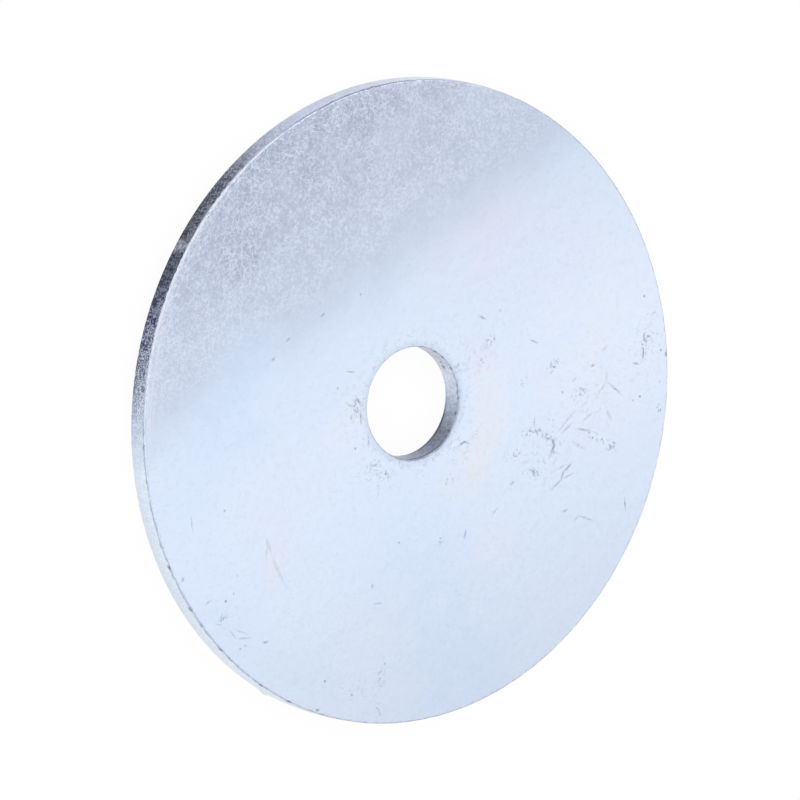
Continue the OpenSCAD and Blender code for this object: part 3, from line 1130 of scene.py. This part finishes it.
def edge_metal(finish, shape):
    """The same plating over sheared steel. The eye sees a fine grain, faint upright drag lines, and a torn
    band whose dark arc is painted shade, with painted highlight and shade along both edges' corners."""
    material, tree = new_material("zinc_plate_sheared")
    place = place_in_mm(tree)
    reach, turn = around(tree, place)
    upright = add(tree, "ShaderNodeVectorMath", {0: place, 1: (1.0, 1.0, 0.5)}, operation="MULTIPLY")
    grain_weight, wander_turns, grain_height = 3.2, 0.008, 0.003
    drag = add(tree, "ShaderNodeTexNoise", {"Vector": upright, "Scale": 1 / DRAG_GRAIN, "Detail": 2.0})
    grain = add(
        tree,
        "ShaderNodeTexNoise",
        {"Vector": place, "Scale": 1 / SPECKLE_GRAIN, "Detail": 2.0, "Roughness": 0.7},
    )
    both = add(
        tree,
        "ShaderNodeMath",
        {0: grain.outputs["Fac"], 1: grain_weight, 2: drag.outputs["Fac"]},
        operation="MULTIPLY_ADD",
    )
    # More of the grains are light higher up the wall: the wall is darker towards its foot as painted shade
    rise = add(tree, "ShaderNodeSeparateXYZ", {0: place}).outputs["Z"]
    shaded_towards_foot = add(tree, "ShaderNodeMath", {0: rise, 1: 0.15, 2: both}, operation="MULTIPLY_ADD")
    speckle = add(tree, "ShaderNodeMapRange", {"Value": shaded_towards_foot, "From Min": 2.15, "From Max": 2.45})

    # Where along the edge each painted shade starts is ragged
    wander = add(tree, "ShaderNodeTexNoise", {"Vector": place, "Scale": 1 / WANDER_GRAIN, "Detail": 3.0})
    wander = add(tree, "ShaderNodeMath", {0: wander.outputs["Fac"], 1: -0.5}, operation="ADD")
    turn = add(tree, "ShaderNodeMath", {0: wander, 1: wander_turns, 2: turn}, operation="MULTIPLY_ADD")
    # The grains' colours hold the tables' painted reflection and shade round the turn
    dark_grain_and_shade, light_grain_and_shade, corner = (
        edge_painted_shade(tree, reach, turn, shape, column) for column in (1, 2, 3)
    )
    colour = mixed(tree, speckle, dark_grain_and_shade, light_grain_and_shade)

    # The tumbled corner's line of painted highlight and shade is uneven, and painted darkest where it is
    # widest
    wobble = add(tree, "ShaderNodeTexNoise", {"Vector": place, "Scale": 1 / WOBBLE_GRAIN, "Detail": 3.0})
    uneven = add(
        tree, "ShaderNodeMath", {0: wobble.outputs["Fac"], 1: 0.4, 2: rise}, operation="MULTIPLY_ADD"
    )
    top = shape.thickness / MM
    at_corner = add(tree, "ShaderNodeMapRange", {"Value": uneven, "From Min": top, "From Max": top + 0.05})
    wide = add(
        tree,
        "ShaderNodeMapRange",
        {"Value": wobble.outputs["Fac"], "From Min": 0.55, "From Max": 0.72, "To Max": 0.5},
    )
    corner = mixed(tree, wide, corner, list(finish.scuff_and_corner_shade))
    colour = mixed(tree, at_corner, colour, corner)
    spots = bare_spots(tree, warped(tree, place, grain=0.3, reach=0.1))
    colour = mixed(tree, spots, colour, list(finish.scuff_and_corner_shade))
    # Painted shadow along the foot of the hole's wall
    colour = mixed(tree, foot_shadow(tree, reach, turn, rise, shape), colour, list(finish.foot_shadow_colour))

    height = add(tree, "ShaderNodeMath", {0: both, 1: grain_height}, operation="MULTIPLY")
    end_metal(tree, colour, roughness=0.42, height=height)
    return material


class WASHER_OT_add(bpy.types.Operator):
    """Make the washer and give it its plating"""

    bl_idname = "washer.add"
    bl_label = "Add Washer"

    def execute(self, context):
        shape, finish = context.scene.washer_shape, context.scene.washer_finish
        nub_place = Vector((shape.outer_radius, 0, shape.nub_rise))
        nub_place.rotate(Matrix.Rotation(shape.nub_angle, 3, "Z"))
        values = {
            "Path Radius": shape.hole_radius,
            "Turn Steps": shape.turn_steps,
            "Ragged Depth": shape.ragged_depth,
            "Ragged Length": shape.ragged_length,
            "Seed": shape.seed,
            "Nub Place": nub_place,
            "Nub Size": shape.nub_size,
            "Nub Height": shape.nub_height,
            "Face Metal": face_metal(finish, shape),
            "Edge Metal": edge_metal(finish, shape),
        }
        piece = run_tree("plated_washer", outline_mesh(shape), sweep_tree(), values)
        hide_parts(NODE)
        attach(piece, BODY)
        return {"FINISHED"}


def direction(azimuth, elevation):
    """The unit vector towards a compass angle, counted from +X against the clock, and a height angle."""
    a, e = math.radians(azimuth), math.radians(elevation)
    return Vector((math.cos(a) * math.cos(e), math.sin(a) * math.cos(e), math.sin(e)))


def softbox(name, stage, azimuth, elevation):
    """A soft lamp that faces the washer. Its level is the brightness of its cloth, where 1 is white."""
    data = bpy.data.lights.new(name, "AREA")
    data.shape = "SQUARE"
    data.size = stage.lamp_size
    data.energy = stage.lamp_level * math.pi * stage.lamp_size**2
    lamp = linked(name, data)
    away = direction(azimuth, elevation)
    lamp.location = away * stage.lamp_distance
    lamp.rotation_mode = "QUATERNION"
    lamp.rotation_quaternion = away.to_track_quat("Z", "Y")
    lamp.visible_camera = False


def white_to_view(tree):
    """1 for rays from the camera and for those that metal or glass sends on, else 0."""
    ray = add(tree, "ShaderNodeLightPath").outputs
    seen = add(
        tree, "ShaderNodeMath", {0: ray["Is Camera Ray"], 1: ray["Is Glossy Ray"]}, operation="MAXIMUM"
    )
    return add(tree, "ShaderNodeMath", {0: seen, 1: ray["Is Transmission Ray"]}, operation="MAXIMUM")


def sheet(name, half_width, half_height, level, material):
    """A flat rectangle about the Z axis, at a level."""
    mesh = bpy.data.meshes.new(name)
    corners = ((-1, -1), (1, -1), (1, 1), (-1, 1))
    mesh.from_pydata([(x * half_width, y * half_height, level) for x, y in corners], [], [(0, 1, 2, 3)])
    mesh.materials.append(material)
    return linked(name, mesh)


def make_table(stage):
    """A plain pale table top under the washer."""
    half, gap = stage.table_width / 2, 0.01 * MM
    material, tree = new_material("white_laminate")
    cloth = add(tree, "ShaderNodeBsdfDiffuse", {"Color": [*stage.table, 1.0]})
    glow = add(tree, "ShaderNodeEmission", {"Color": (1, 1, 1, 1), "Strength": 1.0})
    share = add(
        tree, "ShaderNodeMath", {0: white_to_view(tree), 1: stage.background}, operation="MULTIPLY"
    )
    surface = add(tree, "ShaderNodeMixShader", {0: share, 1: cloth, 2: glow})
    add(tree, "ShaderNodeOutputMaterial", {"Surface": surface})
    table = sheet("table_top", half, half, -gap, material)


def make_room(stage):
    """A room of even walls, plain white where the camera or the metal sees it."""
    world = bpy.data.worlds.new("white_room")
    world.use_nodes = True
    tree = world.node_tree
    tree.nodes.clear()
    level = add(
        tree, "ShaderNodeMapRange", {"Value": white_to_view(tree), "To Min": stage.room, "To Max": 1.0}
    )
    walls = add(tree, "ShaderNodeBackground", {"Color": (1, 1, 1, 1), "Strength": level})
    add(tree, "ShaderNodeOutputWorld", {"Surface": walls})
    bpy.context.scene.world = world


def make_card(stage, thickness):
    """A card that the top face mirrors to the camera, and that nothing else sees. It is white along the
    middle and falls off to either side, so that the face shades off and its tumbling marks stand out."""
    material, tree = new_material("graded_card")
    place = place_in_mm(tree)
    way = (math.cos(stage.card_angle), math.sin(stage.card_angle), 0)
    along = add(tree, "ShaderNodeVectorMath", {0: place, 1: way}, operation="DOT_PRODUCT")
    span = CARD_SHADES[-1][0]
    along = add(
        tree, "ShaderNodeMapRange", {"Value": along.outputs["Value"], "From Min": -span, "From Max": span}
    )
    shade = add(tree, "ShaderNodeValToRGB", {"Fac": along}, stops=grey_stops(CARD_SHADES, -span, span))
    glow = add(tree, "ShaderNodeEmission", {"Color": shade, "Strength": stage.card_level})
    add(tree, "ShaderNodeOutputMaterial", {"Surface": glow})
    card = sheet("graded_card", stage.card_width / 2, stage.card_height / 2, 0, material)
    mirror = direction(90, math.degrees(stage.camera_elevation))
    across = Vector((1, 0, 0))
    axes = Matrix((across, mirror.cross(across), mirror)).transposed()
    centre = Vector((0, 0, thickness)) + mirror * stage.card_distance
    card.matrix_world = Matrix.Translation(centre) @ axes.to_4x4()
    card.visible_camera = card.visible_diffuse = card.visible_transmission = False
    card.visible_shadow = card.visible_volume_scatter = False


def make_camera(stage, thickness):
    """The camera at the photograph's angle: high over the near side, and turned about its own axis."""
    back = direction(-90, math.degrees(stage.camera_elevation))
    level_right = Vector((1, 0, 0))
    level_up = back.cross(level_right)
    right = level_right * math.cos(stage.camera_roll) + level_up * math.sin(stage.camera_roll)
    up = back.cross(right)
    data = bpy.data.cameras.new("camera")
    data.sensor_width = 36.0
    data.lens = stage.lens
    data.clip_start = 0.01
    camera = linked("camera", data)
    aim = Vector((0, 0, thickness)) + right * stage.aim_right + up * stage.aim_up
    axes = Matrix((right, up, back)).transposed()
    camera.matrix_world = Matrix.Translation(aim + back * stage.camera_distance) @ axes.to_4x4()
    bpy.context.scene.camera = camera


class WASHER_OT_stage(bpy.types.Operator):
    """Make the table, room, lamps and camera"""

    bl_idname = "washer.stage"
    bl_label = "Add Stage"

    def execute(self, context):
        stage = context.scene.washer_stage
        make_table(stage)
        make_room(stage)
        softbox("left_softbox", stage, azimuth=170, elevation=45)
        softbox("right_softbox", stage, azimuth=-50, elevation=45)
        thickness = context.scene.washer_shape.thickness
        make_card(stage, thickness)
        make_camera(stage, thickness)
        context.scene.view_settings.view_transform = "Standard"
        return {"FINISHED"}


class WASHER_PT_panel(bpy.types.Panel):
    """Sidebar panel with the washer's settings and its two steps"""

    bl_idname = "WASHER_PT_panel"
    bl_label = "Fender Washer"
    bl_space_type = "VIEW_3D"
    bl_region_type = "UI"
    bl_category = "Washer"

    def draw(self, context):
        for operator, settings in (
            (WASHER_OT_add, context.scene.washer_shape),
            (WASHER_OT_add, context.scene.washer_finish),
            (WASHER_OT_stage, context.scene.washer_stage),
        ):
            box = self.layout.box()
            for name in settings.__annotations__:
                box.prop(settings, name)
            box.operator(operator.bl_idname)


CLASSES = (WasherShape, WasherFinish, Stage, WASHER_OT_add, WASHER_OT_stage, WASHER_PT_panel)


def register():
    for cls in CLASSES:
        bpy.utils.register_class(cls)
    bpy.types.Scene.washer_shape = PointerProperty(type=WasherShape)
    bpy.types.Scene.washer_finish = PointerProperty(type=WasherFinish)
    bpy.types.Scene.washer_stage = PointerProperty(type=Stage)


def unregister():
    for name in ("washer_shape", "washer_finish", "washer_stage"):
        delattr(bpy.types.Scene, name)
    for cls in reversed(CLASSES):
        bpy.utils.unregister_class(cls)


def main():
    register()
    bpy.ops.washer.add()
    bpy.ops.washer.stage()


if __name__ == "__main__":
    main()
